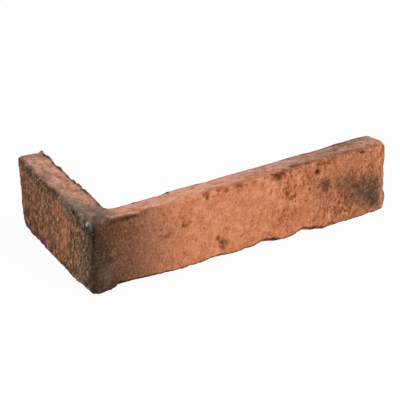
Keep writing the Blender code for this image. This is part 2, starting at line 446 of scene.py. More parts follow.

# Small dark pits, darkened with painted shade in their hollows: the same five sizes, and how dark the
# painted shade is
darkPits = (
    (131.2, 48.4, 2.6, 1.8, 0.8, 1.1), (133, 46.6, 1.8, 2, 0.8, 1.2), (128.5, 50.4, 1.8, 1.2, 0.6, 0.8),
    (135, 49.4, 1.6, 1.8, 0.6, 0.9), (136.8, 47.4, 1, 1.4, 0.5, 0.8), (128.5, 46.6, 1.2, 1.2, 0.5, 0.7),
    (144, 55.6, 3.8, 0.8, 0.8, 1.6), (148, 54, 3, 0.8, 0.6, 1.3), (161.4, 42.4, 1.8, 1.7, 1.4, 2.4),
    (187.7, 35.4, 0.9, 4, 0.6, 0.6), (87.7, 15.4, 1.2, 1.3, 0.7, 0.75), (90.6, 11.9, 1.3, 1.8, 0.7, 0.75),
    (90.9, 8.3, 1.2, 2.2, 0.8, 0.75), (93.5, 10.5, 0.8, 1.2, 0.4, 0.6), (79.8, 49.4, 1.4, 1.4, 0.7, 0.6),
    (80.8, 47.6, 0.9, 1.6, 0.5, 0.55), (84.6, 47, 0.9, 1, 0.5, 0.5), (88.4, 50.5, 1, 1, 0.5, 0.35),
    (93.8, 48.8, 1.2, 1.4, 0.6, 0.65), (104.2, 49, 2.2, 1.3, 0.7, 1.1), (107.5, 48.6, 1, 1, 0.5, 0.5),
    (114, 49, 1.2, 1, 0.4, 0.35), (145.6, 57.7, 1.2, 2.2, 0.6, 0.8), (195.5, 48.4, 2.2, 1.5, 1, 1.3),
    (190, 49.4, 1, 1, 0.5, 0.6), (204, 48.4, 0.8, 1.2, 0.5, 0.45), (179, 59, 1.6, 1.2, 0.4, 0.6),
    (196, 60, 1.8, 1.6, 0.4, 0.65), (162, 56, 1.4, 1.2, 0.4, 0.6), (-12, 52.8, 2, 1.4, 0.6, 0.8),
    (-17, 50.5, 1.8, 1.6, 0.6, 0.7), (12.5, 51.8, 2.2, 1, 0.5, 0.8), (-61, 49, 2.8, 1.8, 0.6, 0.6),
    (-54, 49.5, 2.8, 1.5, 0.6, 0.7), (-47, 50.5, 2.2, 1.5, 0.6, 0.6), (-26, 49, 3, 1.7, 0.6, 0.75),
    (-72, 53, 1.6, 1.4, 0.5, 0.6), (-104, 56, 1.6, 1.6, 0.5, 0.8), (-3, 54, 2.4, 1.6, 0.6, 0.8),
    (6, 54.5, 1.8, 2.2, 0.6, 0.8),
)

# Ragged skin of the header leg's inner top edge: its height over the plain edge, against the distance
# from the corner
skinEdge = (
    (16, -2.2), (19, -0.6), (22, 0), (30, -0.1), (34, 0.4), (38, 1.4), (41.5, 1.5), (44, -1), (46.5, 1.8),
    (50, 1.2), (53, -1.2), (56, 0.4), (62, -1.2), (66, 0.2), (70, 0.2), (73, -0.4), (76, 0.6), (79, 0),
    (82, -1.2), (85, -1.2), (88, 0.1), (91.5, 1.2), (94.5, 1.4), (97.5, -0.8), (101, -0.6), (104, 1.2),
    (106, 1.8), (108, 1.4),
)

# Share of soot along each leg, against the distance from the outside corner
stainRuns = {
    "stretcher": (
        (0, 0.98), (3, 0.93), (8, 0.92), (12, 0.88), (17, 0.81), (23, 0.76), (31, 0.67), (40, 0.48),
        (52, 0.24), (70, 0.03), (90, 0), (115, 0), (140, 0.05), (165, 0.16), (190, 0.24), (215, 0.14),
    ),
    "header": (
        (0, 0.98), (3, 0.94), (11, 0.83), (24, 0.75), (31, 0.68), (45, 0.61), (60, 0.66), (108, 0.71),
    ),
    "stretcherTop": (
        (0, 0.94), (8, 0.9), (12, 0.87), (18, 0.6), (24, 0.28), (32, 0.05), (75, 0.04), (110, 0.18),
        (140, 0.34), (160, 0.54), (185, 0.54), (205, 0.34), (215, 0.28),
    ),
    "headerTop": (
        (0, 0.94), (18, 0.86), (24, 0.68), (32, 0.48), (45, 0.36), (70, 0.33), (108, 0.38),
    ),
}

# Marks in the colour: distance from the corner, height, half length, half height and strength. A height
# over the slip's own is on the top
marks = {
    "stain": (
        (22, 48.5, 15, 2, 0.48), (52, 27.5, 3, 2.2, 0.36), (65.5, 31, 3.6, 2.2, 0.4),
        (46, 30, 2, 2.6, 0.25), (60, 25, 4, 1.6, 0.18), (77, 34, 3, 0.8, 0.2), (12, 6, 10, 6, 0.4),
        (167.5, 31.5, 3.6, 5.6, 0.62), (165, 28, 8, 8, 0.16), (181, 30, 9, 8, 0.52), (190, 20, 4, 8, 0.2),
        (190, 55, 20, 2.6, 0.3), (192, 61, 8, 2.4, 0.35), (200, 8.5, 6, 3.6, 0.22),
        (196, 26.5, 11, 4, 0.14), (188, 38, 2, 4, 0.3), (190, 20, 10, 11, 0.58),
        (202, 18, 8.2, 12.5, 0.66), (204, 12, 6, 9, 0.5), (132, 48.8, 5.8, 4.2, 0.46),
        (146, 55, 3.6, 1.8, 0.3), (158, 53, 9, 2.4, 0.34), (175, 52, 10, 2.4, 0.28),
        (192, 65, 12, 4, 0.6), (-58, 49, 12, 3, 0.5), (-75, 48, 5.2, 3, 0.72), (-89, 49.5, 9, 3.4, 0.6),
        (-25, 47.5, 7, 4, 0.5), (-36, 3, 6, 3, 0.55), (-75, 2, 40, 2, 0.35), (-104, 6, 5, 8, 0.5),
        (-104, 56, 3, 4, 0.5), (-8, 48, 11, 5, 0.75), (-65, 48.5, 46, 2.6, 0.32), (-3, 48, 3.6, 3, 0.85),
        (-12, 48.5, 6, 3, 0.4), (-95, 47.8, 8, 3.4, 0.65), (-24, 27, 4, 6, 0.46), (-25, 44, 5, 2.4, 0.5),
        (-30, 47, 4, 2, 0.3), (-45, 47.5, 4, 2, 0.3), (-11, 8, 9, 6, 0.45), (-65, 35, 7, 11, 0.24),
        (6, 25, 4, 12, 0.35), (12.5, 17, 3, 10, 0.22), (162.5, 30, 5, 5, 0.2), (151, 53.5, 12, 1.6, 0.2),
        (186, 53, 9, 1.8, 0.16), (17, 58, 4.4, 4.6, 0.48), (10.5, 53.2, 4, 1.6, 0.3),
        (207, 53, 4, 1.8, 0.26), (100, 52.5, 20, 1, 0.12), (-26, 56.5, 8, 2.6, 0.35),
        (-42, 53, 5, 2.6, 0.4), (-51, 56, 6, 2.6, 0.38), (-71, 53, 6, 2.6, 0.4), (-42, 65.5, 5, 2.6, 0.3),
        (-97, 65.5, 6, 3, 0.4), (-64, 54.5, 3, 1.6, 0.3), (-75, 44, 34, 2.4, 0.34),
        (-22, 44, 7, 2.6, 0.4), (-28, 52.5, 14, 4.4, 0.62), (-16, 60, 8, 8, 0.35),
        (198, 52.5, 14, 2, 0.28), (92, 52.2, 22, 1.8, 0.22), (148, 52, 14, 2, 0.3), (-50, 53, 20, 3, 0.4),
        (-60, 3, 50, 3, 0.3), (150, 53, 70, 3, 0.25), (-96, 67.5, 6, 2, 0.45), (-76, 67.5, 4, 2, 0.45),
        (-75, 58, 3, 3, 0.3), (-50, 68, 4, 1.8, 0.4), (-42, 67.5, 3, 2.2, 0.45),
    ),
    "clear": (
        (-36.5, 30, 4.8, 8.5, 0.62), (-40, 19, 5, 8, 0.5), (-51, 17, 7, 6, 0.16),
        (-46.5, 40, 6.5, 5, 0.46), (40, 45.5, 6, 2.6, 0.16), (-65, 47.5, 4, 2, 0.45), (-47, 9, 8, 5, 0.2),
        (-80, 35.5, 2.2, 2.8, 0.3), (-60, 42.5, 6, 2.2, 0.15), (36, 52.8, 9, 2.2, 0.6),
        (19, 53.2, 8, 1.8, 0.35), (-7, 56, 5, 3, 0.25), (12.5, 65, 5, 2.5, 0.25),
        (198, 57, 12, 2.2, 0.32), (150, 57, 10, 2, 0.24), (125, 61, 15, 2, 0.26),
        (140, 65, 22, 2.4, 0.24), (-61, 53.5, 5, 1.8, 0.34), (-81, 53.5, 5, 1.8, 0.34),
        (-81, 61, 6, 2.2, 0.32), (-23, 62, 7, 4, 0.2), (-42, 61, 5, 2, 0.22), (18, 30, 5, 5, 0.06),
        (-65, 13, 6, 9, 0.14),
    ),
    "ash": (
        (196, 18, 12, 11, 0.17), (206.8, 13, 1.8, 8, 0.42), (-28, 53, 12, 6, 1), (-44, 53, 14, 3.4, 0.8),
        (-66, 53, 14, 3, 0.6), (-10, 60, 12, 8, 0.5), (-12, 48, 7, 4, 0.25), (10, 13, 6, 8, 0.35),
        (2, 58, 12, 7, 0.45), (-90, 50.5, 12, 4, 0.4), (-15, 10, 5, 5, 0.35),
    ),
    "rust": (
        (136, 15, 9, 8, 0.8), (140, 35, 5, 10, 0.4), (156, 38, 5, 8, 0.6), (170, 44, 16, 6, 0.2),
        (160, 20, 20, 8, 0.3), (200, 44, 10, 6, 0.35), (110, 33, 10, 6, 0.25), (-95, 24, 6, 15, 0.85),
        (-98, 47.5, 8, 4, 1), (-94, 45, 7, 4, 0.6), (-80, 24, 10, 15, 0.4), (-65, 33, 6, 10, 0.3),
        (-70, 9, 25, 4, 0.4), (212, 30, 2.2, 20, 0.6),
    ),
    "lilac": (
        (18, 53, 6, 3, 0.7), (32, 53, 14, 2.6, 0.35), (40, 62, 16, 5, 0.3), (70, 60, 12, 4, 0.35),
        (120, 65, 20, 4, 0.45), (145, 62, 16, 6, 0.6), (170, 56, 12, 4, 0.45), (200, 58, 8, 5, 0.25),
        (-64, 56, 10, 4, 0.8), (-34, 56.5, 12, 4, 0.7), (-88, 56, 8, 3, 0.5), (-12, 62, 9, 6, 0.6),
        (-78, 62, 6, 4, 0.35),
    ),
    "dusty": (
        (-92, 59, 12, 7, 0.8), (-72, 56, 12, 4, 0.6), (-36, 56, 16, 3, 0.6), (-8, 60, 12, 8, 0.6),
        (36, 26, 20, 24, 0.2), (150, 58, 20, 6, 0.4), (198, 56, 10, 4, 0.15), (212.5, 16, 3.4, 19, 0.6),
    ),
    "firm": (
        (205.8, 15, 2.6, 8.5, 0.62), (200, 25, 8, 5, 0.22), (196, 18, 11, 11, 0.18),
    ),
    "crust": (
        (0.6, 41, 1.3, 9, 0.7), (27, 48.4, 7.5, 1.3, 0.5), (14, 47.8, 7, 0.8, 0.42),
        (-2, 47, 2.4, 4, 0.5), (-12, 45, 6, 1.6, 0.45), (-25, 47.8, 6, 1.4, 0.4), (-46, 50, 2.2, 1, 0.45),
        (-51.5, 49.2, 2.4, 1.3, 0.55), (-57.5, 49.6, 1.8, 1.2, 0.4), (-63.5, 48.4, 2.6, 1.2, 0.5),
        (-69, 49, 1.4, 1.4, 0.35), (-16.5, 48.6, 3, 1, 0.8), (-19.5, 51.2, 2.6, 0.9, 0.7),
        (-8.5, 49.6, 3, 0.8, 0.6), (-8, 47, 2, 1.8, 0.7), (-88, 49.2, 8, 1.8, 0.25),
        (-106, 48, 2, 4, 0.6), (-22, 68.6, 3, 0.8, 0.6),
    ),
    # Black marks; those low on the front, up to 5 mm high, are painted shade on the underside below the
    # lifted bottom edge
    "blackAndShade": (
        (0.8, 40, 1.1, 6, 0.75), (66, 3, 1.2, 0.8, 0.6), (74.5, 3, 1.5, 0.9, 0.8),
        (83, 3.6, 1.9, 0.9, 0.85), (92.5, 3.8, 1.4, 0.8, 0.6), (112, 3.6, 2.2, 0.7, 0.5),
        (122.5, 4.8, 2.4, 1.4, 0.95), (126.5, 4, 3.6, 1.8, 1), (130.5, 2.8, 2.6, 1.2, 0.95),
        (152, 4.4, 2.8, 1.4, 0.95), (157, 3.4, 4, 1.6, 1), (163, 2, 3.4, 1.2, 0.95),
        (38, 68, 1.8, 1.4, 1), (61, 67.8, 1.4, 1.6, 1), (144.5, 55.6, 3, 0.5, 0.6),
        (-105.5, 67.8, 2.2, 1.8, 0.9), (-96.5, 67.8, 4.4, 1.4, 0.9), (-90, 68.4, 3, 0.9, 0.6),
        (-77, 68, 4.2, 1.3, 0.9), (-63, 68.4, 2.6, 0.8, 0.6), (-50.5, 68.2, 2, 1.3, 0.8),
        (-39, 68.2, 4.6, 1.2, 0.8),
    ),
    "brown": (
        (-52, 48.8, 5, 2.2, 0.55), (-64, 48.2, 5, 2, 0.5), (80, 49.2, 3, 2.6, 0.85),
        (81.2, 46.8, 1.4, 2, 0.7), (85, 47.2, 1.8, 1, 0.55), (88.6, 50.6, 1.8, 1.4, 0.6),
        (93.8, 49, 2, 2.2, 0.8), (103.6, 49, 4, 2.2, 0.8), (114, 49.2, 2.6, 1.8, 0.6),
        (132.2, 48.2, 5.6, 3.6, 0.62), (147.7, 47.4, 1.2, 2, 0.8), (152, 46.4, 1.5, 2, 0.8),
        (155.6, 48.6, 2, 1, 0.8), (164, 49.6, 1.6, 1, 0.75), (170.5, 49.3, 1.8, 0.9, 0.8),
        (174.5, 49.1, 1.5, 1.2, 0.8), (180, 49.5, 1.4, 0.9, 0.7), (185, 49, 0.9, 1.2, 0.6),
        (195, 48.8, 3, 1.6, 0.7), (143, 18, 1, 1.4, 0.5), (166, 16, 0.9, 1.8, 0.5),
        (176, 42, 0.9, 1.6, 0.45), (188, 45.5, 1, 1.4, 0.45), (206, 41, 0.9, 1.6, 0.45),
        (215, 48.5, 2.2, 3, 0.75), (199, 49.4, 1.6, 1, 0.6), (88, 15.2, 2.2, 2, 0.8),
        (91, 10, 2.6, 5, 0.8), (94.5, 12, 1.4, 2, 0.6), (104, 13, 0.8, 1.2, 0.6), (109, 47, 1.2, 1, 0.45),
        (99, 44, 1, 1.2, 0.4), (137.7, 32.5, 1.2, 4, 0.65), (139.5, 30, 0.8, 2.2, 0.55),
        (143.4, 36.9, 2.6, 0.9, 0.75), (154.9, 39.7, 1.5, 2.8, 0.55), (150.5, 34.5, 1, 2, 0.5),
        (148.8, 21.5, 1.3, 1.4, 0.55), (163, 24, 1, 2.6, 0.5), (169, 33.5, 1.6, 2, 0.6),
        (167.2, 29, 1.6, 1.6, 0.55), (173.5, 11.5, 1, 1.6, 0.5), (160, 12, 1.2, 1.2, 0.4),
        (158, 30, 0.8, 1.6, 0.45), (183, 42, 1.2, 1.8, 0.35), (65.8, 30.5, 2.8, 1.2, 0.6),
        (64, 32.2, 1.2, 1.2, 0.5), (52.2, 27.4, 2, 1.2, 0.55), (56, 28.8, 1.2, 0.8, 0.4),
        (47, 26, 1.2, 0.8, 0.35), (34, 20, 1.4, 0.8, 0.3), (24, 33, 1.2, 1, 0.35), (42, 40, 1.2, 1, 0.3),
        (53, 45, 1.4, 0.8, 0.35), (108, 29, 1, 1.2, 0.3), (101, 37.5, 0.8, 1.2, 0.3),
        (120, 44, 0.8, 1.4, 0.3), (124, 9, 1, 1.2, 0.35),
    ),
    "speckle": (
        (53, 27.5, 4, 3, 0.55), (65, 30.5, 4.5, 3, 0.75), (60, 40, 16, 8, 0.25), (85, 48, 8, 4, 0.45),
        (90, 12, 4, 6, 0.55), (100, 38, 16, 6, 0.3), (105, 49, 10, 3, 0.5), (132, 50, 8, 4, 0.7),
        (141, 33, 6, 8, 0.45), (155, 37, 5, 7, 0.7), (167, 32, 5, 7, 0.75), (165, 48.5, 20, 2.2, 0.45),
        (180, 14, 20, 8, 0.45), (200, 40, 8, 8, 0.35), (-72, 62.5, 4, 4, 0.7), (-56, 65, 16, 3, 0.45),
        (0, 53, 16, 5, 0.5), (150, 57, 12, 6, 0.6), (185, 58, 26, 8, 0.6), (30, 25, 30, 24, 0.2),
    ),
    "fleck": (
        (-6.2, 50, 1.2, 0.9, 1), (-11, 48.5, 5.5, 3, 0.36), (-4, 50.5, 3.4, 2.4, 0.22),
        (-18, 50.5, 4, 2.4, 0.4), (-46, 50, 6, 2, 0.3), (-62, 50.5, 6, 1.8, 0.24),
        (-9.5, 46.2, 1.2, 0.4, 0.4), (-4, 44.5, 0.5, 0.9, 0.3), (-80, 36, 0.9, 1.3, 0.45),
        (-19, 16, 0.6, 2, 0.4), (-23, 11, 0.6, 1.8, 0.35), (9, 52, 2.2, 0.4, 0.3),
    ),
}


# Round hill of height 1. A firmness over 1 gives it a flatter top and a steeper side
def bump(u, v, place, level, halfLength, halfHeight, firmness=1.0):
    return np.exp(-(((u - place) / halfLength) ** 2 + ((v - level) / halfHeight) ** 2) ** firmness)


# How far the bottom edge is lifted off the bed, with the crumbs along it
def bedLift(along, depth, level):
    s = slipShape
    crumbs = s["crumbDepth"] * np.maximum(wave(along, depth, s["crumbLength"], s["layers"]["crumbs"]), 0)
    rise = legEdge(bedEdge, along)
    lift = rise * fade(level, slipHeight) + crumbs * fade(level, s["crumbHeight"])
    return lift * fade(depth, s["bedReach"] + s["bedSpread"] * rise)


# The unfolded slip with its waves. The proudest point of each face stays on that face's plane
def castShape(along, depth, level):
    s = slipShape
    layers = s["layers"]
    shaped, outward = roundEdges(along, depth, level)
    face = s["swellDepth"] * wave(along, level, s["swellLength"], layers["swell"])
    face = face + s["rippleDepth"] * wave(along, level, s["rippleLength"], layers["ripple"])
    betweenArrises = (level > s["stretcherBedArris"]) & (level < slipHeight - s["topArris"])
    front = (depth == 0) & betweenArrises
    headerFront = face[front & (along < -s["cornerRadius"])].min()
    stretcherFront = face[front & (along > s["cornerRadius"])].min()
    turn = ramp(along, -s["cornerRadius"], 2 * s["cornerRadius"])
    proudest = headerFront + (stretcherFront - headerFront) * turn
    face = np.maximum(face - proudest, 0) * fade(depth, s["faceReach"])
    face = face * (1 - s["headerWave"] * (1 - turn))

    inside = betweenArrises & (depth > s["topArris"]) & (depth < s["thickness"] - s["backArris"])

    def endWave(leg):
        end = s["endDepth"] * wave(depth, level, s["endRippleLength"], layers[leg])
        return np.maximum(end - end[inside].min(), 0) + readEdge(endInset[leg], level)

    header = endWave("header") * fade(along + headerLength, s["faceReach"])
    stretcher = endWave("stretcher")
    topBack = ramp(depth, *s["endRoundDepth"]) ** s["endRoundPower"] * ramp(level, *s["endRoundLevel"])
    stretcher = (stretcher + s["endRound"] * topBack) * fade(stretcherLength - along, s["faceReach"])
    lift = bedLift(along, depth, level)
    fall = legEdge(topFall, along) * smoothStep(depth / s["thickness"]) * smoothStep(level / slipHeight)
    return shaped + np.stack([header - stretcher, face, lift - fall]), outward


# Finish of the slip. A drift is how far something wanders, over which distance, and its layer of the
# noise. A share is its first value, how much comes to it, where that starts and how wide it is
slipFinish = {
    "drifts": {
        "shakeU": (0.45, 0.0030, 21.9),
        "shakeV": (0.45, 0.0030, 24.3),
        "markU": (0.0030, 0.006, 11.3),
        "markV": (0.0024, 0.005, 13.7),
        "rim": (0.0020, 0.011, 33.1),
        "patch": (0.9, 0.016, 17.1),
    },
    "markFirmness": 1.5,
    "pitSteepness": 1.4,
    "firmShake": (0.0016, 0.0008),
    "skinStart": 0.016,
    "skinDepth": (0.0140, 0.0036),
    "skinLevel": (0.046, 0.004),
    "legChange": (-0.002, 0.004),
    "topStart": {"near": -0.0012, "far": 0.0020, "header": -0.0004},
    "topStartChange": (0.060, 0.050),
    "topWidth": 0.0034,
    "endRim": (0.2083, 0.0018),
    "endRimShake": 0.0010,
    "endRimClear": 0.75,
    "endRimStain": 0.16,
    "endFaceFade": 0.004,
    "innerSide": (0.009, 0.008),
    "innerClear": 0.75,
    "smooth": {"back": 0.5, "top": 0.3},
    "patchLevel": 0.85,
    "fibre": {"low": 0.24, "more": 0.40, "start": (0.095, 0.045), "header": 1.0, "top": 0.75},
    "fibreCorner": (0.4, 0.6, 0.002, 0.006),
    "fibreMost": 1.2,
    "speckle": {"low": 0.12, "more": 0.42, "start": (0.105, 0.040), "header": 0.20, "top": 0.8},
    "speckleMarks": 0.8,
    "pitting": 1.6,
    # underShadeLine: painted shade along the bottom of the front, where the underside is in shadow
    "underShadeLine": {"height": 0.0011, "lowest": -0.004, "share": (1.0, -0.25, 0.050, 0.030), "header": 0.7},
    "cornerLine": (-0.0002, 0.037, 0.0011, 0.032),
    "cornerLineSpan": (0.004, 0.047),
    "cornerLineShake": 0.0006,
    "cornerLineShare": (0.8, -0.8, 0.046, 0.004),
    "innerLineDepth": (0.0028, 0.0016),
    "innerLineLevel": (0.0030, 0.0015),
    "innerLineShare": {"stretcher": (0.34, 0.46, 0.150, 0.035), "header": (0.50, 0.35, 0.030, 0.010)},
    "crustMarks": 1.4,
    "boxGap": 0.00001,
    "hiddenDepth": 0.0172,
    "hiddenRatio": 0.634,
}


def storeField(mesh, name, values):
    field = mesh.attributes.new(name, "FLOAT", "POINT")
    field.data.foreach_set("value", values.astype(np.float32))


def readPlaces(mesh):
    flat = np.empty(len(mesh.vertices) * 3)
    mesh.vertices.foreach_get("co", flat)
    return flat.reshape(-1, 3)


def setPlaces(mesh, places):
    mesh.vertices.foreach_set("co", places.ravel())


def keepInside(mesh):
    gap = slipFinish["boxGap"]
    setPlaces(mesh, np.clip(readPlaces(mesh), np.array(cadLow) + gap, np.array(cadHigh) - gap))


def drift(name, p):
    reach, length, layer = slipFinish["drifts"][name]
    return reach * wave(p.along, p.level + p.depth, length, layer)


# Where each point of the lattice is on the unfolded slip. u and v run along its skin: u from the outside
# corner and v from the bottom edge of the front up and over the top
def skinPlaces(mesh):
    share = readPlaces(mesh).T + 0.5
    p = SimpleNamespace()
    p.along = share[0] * (headerLength + stretcherLength) - headerLength
    p.depth = np.where(share[1] < edgeGap, 0.0, share[1] * slipShape["thickness"])
    p.level = share[2] * slipHeight
    p.onTop = p.level > slipHeight - edgeGap
    p.onBed = p.level < edgeGap
    p.onBack = p.depth > slipShape["thickness"] - edgeGap
    p.seen = fade(p.depth, slipShape["faceReach"])
    atEnd = (p.along > stretcherLength - edgeGap) | (p.along < edgeGap - headerLength)
    p.u = p.along + np.where(atEnd, p.depth * np.sign(p.along), 0)
    p.edgeV = p.level + np.where(p.onTop, p.depth, 0) - np.where(p.onBed, p.depth, 0)
    p.v = p.edgeV + bedLift(p.along, p.depth, p.level)
    p.reach = np.abs(p.u)
    p.onStretcher = ramp(p.u, *slipFinish["legChange"])
    p.shakeU = drift("shakeU", p)
    p.shakeV = drift("shakeV", p)
    p.markU = p.u + drift("markU", p)
    p.markV = p.v + drift("markV", p)
    return p


def shapeSlip(mesh, p):
    f = slipFinish
    shaped, outward = castShape(p.along, p.depth, p.level)
    u, v = p.u / mm, p.v / mm
    pressed = np.zeros(len(u))
    p.dark = np.zeros(len(u))
    for *shape, deep in castHollows:
        pressed = pressed + deep * mm * bump(u, v, *shape)
    for place, height, halfLength, halfHeight, deep, shade in darkPits:
        shakenU = u + p.shakeU * halfLength
        shakenV = v + p.shakeV * halfHeight
        bowl = bump(shakenU, shakenV, place, height, halfLength, halfHeight) ** f["pitSteepness"]
        pressed = pressed + deep * mm * bowl
        # painted shade in the pit's hollow
        p.dark = np.maximum(p.dark, bowl * shade)
    shaped = shaped - outward * pressed * p.seen
    skin = readEdge(skinEdge, -p.u) * (p.u < -f["skinStart"])
    shaped[2] = shaped[2] + skin * ramp(p.depth, *f["skinDepth"]) * ramp(p.level, *f["skinLevel"])
    setPlaces(mesh, np.stack(foldPlan(*shaped), 1))
    mesh.update()


def runOf(name, distance):
    places, shares = np.array(stainRuns[name]).T
    return np.interp(distance, places * mm, shares)


def byLeg(p, stretcher, header):
    return header + (stretcher - header) * p.onStretcher


def markField(kind, u, v):
    u, v = u / mm, v / mm
    value = np.zeros(len(u))
    for *shape, strength in marks[kind]:
        value = value + (1 - value) * strength * bump(u, v, *shape, slipFinish["markFirmness"])
    return value


# Soft marks wander far from their outlines, firm ones a little
def softMarks(kind, p):
    return markField(kind, p.markU, p.markV) * ~p.onBack


def firmMarks(kind, p):
    along, up = slipFinish["firmShake"]
    return markField(kind, p.u + along * p.shakeU, p.v + up * p.shakeV)


def storeStain(mesh, p):
    f = slipFinish
    near, far = f["topStart"]["near"], f["topStart"]["far"]
    start = byLeg(p, near + (far - near) * ramp(p.reach, *f["topStartChange"]), f["topStart"]["header"])
    start = start + drift("rim", p)
    p.topShare = ramp(p.markV, slipHeight + start, f["topWidth"]) * ~p.onBack
    stain = byLeg(p, runOf("stretcher", p.reach), runOf("header", p.reach))
    topStain = byLeg(p, runOf("stretcherTop", p.reach), runOf("headerTop", p.reach))
    stain = stain + (topStain - stain) * p.topShare
    stain = stain + (1 - stain) * softMarks("stain", p)
    stain = stain + (1 - stain) * firmMarks("firm", p)
    stain = stain * (1 - softMarks("clear", p))
    endRim = ramp(p.u + f["endRimShake"] * p.shakeU, *f["endRim"]) * (1 - p.topShare)
    stain = stain * (1 - f["endRimClear"] * endRim)
    stain = stain + f["endRimStain"] * endRim * fade(p.u - stretcherLength, f["endFaceFade"])
    innerSide = ramp(p.depth, *f["innerSide"]) * (1 - p.topShare)
    storeField(mesh, "stain", stain * (1 - f["innerClear"] * innerSide))
    for kind in ("ash", "rust", "dusty"):
        storeField(mesh, kind, softMarks(kind, p))
    storeField(mesh, "lilac", softMarks("lilac", p) * p.topShare)
    for kind in ("fleck", "blackAndShade", "brown"):
        storeField(mesh, kind, firmMarks(kind, p) * ~p.onBack)
    # painted shade in the pits
    storeField(mesh, "dark", p.dark * p.seen)
    storeField(mesh, "topShare", p.topShare)
    storeField(mesh, "headerShare", 1 - p.onStretcher)


# Grain: strong on the header leg and past the middle of the stretcher leg, in patches
def grainShare(p, kind, patch):
    g = slipFinish[kind]
    share = byLeg(p, g["low"] + g["more"] * ramp(p.reach, *g["start"]) * patch, g["header"])
    return share * (1 - g["top"] * p.topShare) * ~p.onBack


def storeGrain(mesh, p):
    f = slipFinish
    storeField(mesh, "rough", 1 - f["smooth"]["back"] * p.onBack - f["smooth"]["top"] * p.topShare)
    patch = f["patchLevel"] + drift("patch", p)
    fibre = grainShare(p, "fibre", patch) * shareAt(p.reach, *f["fibreCorner"])
    storeField(mesh, "fibre", np.clip(fibre, 0, f["fibreMost"]))
    speckle = grainShare(p, "speckle", patch) + f["speckleMarks"] * softMarks("speckle", p)
    speckle = np.clip(speckle, 0, 1)
    storeField(mesh, "speckle", speckle)
    storeField(mesh, "pitting", np.clip(f["pitting"] * speckle, 0, 1))


# Crust and painted shade: a thin dark line of painted shade under the front, where the underside is in
# shadow, crust down the outside corner and in the crust marks, and a thin dark line along the inner top
# edge
def storeCrustAndShade(mesh, p):
    f = slipFinish
    line = f["underShadeLine"]
    # painted shade along the bottom of the front, where the underside is in shadow
    underShade = fade(p.edgeV, line["height"]) * (p.edgeV > line["lowest"])
    underShade = underShade * byLeg(p, shareAt(p.reach, *line["share"]), line["header"])
    shakenU = p.u + f["cornerLineShake"] * p.shakeU
    corner = bump(shakenU, np.clip(p.v, *f["cornerLineSpan"]), *f["cornerLine"])
    corner = corner * shareAt(p.v, *f["cornerLineShare"])
    (deep, wide), (low, tall) = f["innerLineDepth"], f["innerLineLevel"]
    inner = p.onTop * ramp(p.depth, slipShape["thickness"] - deep, wide)
    inner = np.maximum(inner, p.onBack * ramp(p.level, slipHeight - low, tall))
    shares = f["innerLineShare"]
    inner = inner * byLeg(p, shareAt(p.reach, *shares["stretcher"]), shareAt(p.reach, *shares["header"]))
    crust = f["crustMarks"] * firmMarks("crust", p)
    rim = np.maximum(np.maximum(underShade, corner), crust) * ~p.onBack
    storeField(mesh, "rim", np.maximum(rim, inner))


# Thins what the wall hides: the two backs and the bed
def thinHidden(slip, p):
    hidden = (p.depth > slipFinish["hiddenDepth"]) & ~p.onTop | p.onBed
    group = slip.vertex_groups.new(name="hidden")
    group.add(np.nonzero(hidden)[0].tolist(), 1.0, "REPLACE")
    thin = slip.modifiers.new("thinHidden", "DECIMATE")
    thin.ratio = slipFinish["hiddenRatio"]
    thin.vertex_group = "hidden"
    graph = bpy.context.evaluated_depsgraph_get()
    mesh = bpy.data.meshes.new_from_object(slip.evaluated_get(graph))
    slip.modifiers.remove(thin)
    slip.vertex_groups.clear()
    slip.data = mesh
    return mesh


def castSlip(material):
    print("slip: lattice")
    holder = addObject("slipHolder", bpy.data.meshes.new("slipHolder"))
    mesh = runTree(holder, latticeTree(material), latticeSizes)

    print("slip: cast shape")
    p = skinPlaces(mesh)
    shapeSlip(mesh, p)

    print("slip: stain, grain and crust")
    storeStain(mesh, p)
    storeGrain(mesh, p)
    storeCrustAndShade(mesh, p)
    castPlace = mesh.attributes.new("castPlace", "FLOAT_VECTOR", "POINT")
    places = np.stack([p.along, p.depth, p.level], 1).astype(np.float32)
    castPlace.data.foreach_set("vector", places.ravel())

    print("slip: relief")
    holder.data = mesh
    mesh = runTree(holder, reliefTree(material), reliefSizes)
    bpy.data.objects.remove(holder)
    keepInside(mesh)
    slip = addObject("castCornerSlip", mesh)

    print("slip: hidden sides")
    mesh = thinHidden(slip, p)
    mesh.name = "castCornerSlip"
    keepInside(mesh)
    mesh.shade_smooth()
    print("slip: triangles", sum(len(face.vertices) - 2 for face in mesh.polygons))
    return slip


# Concrete

terracotta = {
    "clay": (0.700, 0.258, 0.127, 1),
    "deepClay": (0.440, 0.116, 0.034, 1),
    "salmon": (0.815, 0.405, 0.252, 1),
    "topPink": (0.670, 0.325, 0.228, 1),
    "rust": (0.470, 0.125, 0.045, 1),
    "soot": (0.025, 0.018, 0.010, 1),
    "headerSoot": (0.049, 0.038, 0.023, 1),
    "topSoot": (0.125, 0.078, 0.060, 1),
    "ash": (0.150, 0.122, 0.102, 1),
    "tan": (0.565, 0.350, 0.205, 1),
    "ashFleck": (0.480, 0.415, 0.345, 1),
    "dust": (0.500, 0.330, 0.240, 1),
    "lilac": (0.560, 0.375, 0.315, 1),
    # pit: the colour of the painted shade in the pits
    "pit": (0.085, 0.030, 0.014, 1),
    "speck": (0.180, 0.045, 0.011, 1),
    # crust: also the colour of the painted shade under the front and below the lifted bottom edge
    "crust": (0.011, 0.008, 0.006, 1),
    "roughness": 0.93,
    "gloss": 0.12,
    "strokeLean": 0.20,
    "strokeScale": (460, 460, 230),
    "fibreScale": (1150, 1150, 560),
    "streakScale": (90, 300, 90),
    "squash": (1, 1, 0.7),
    "broadScale": 75,
    "patchScale": 170,
    "middleScale": 330,
    "speckScale": 480,
    "gritScale": 2300,
    "bumpDepth": 0.00045,
}


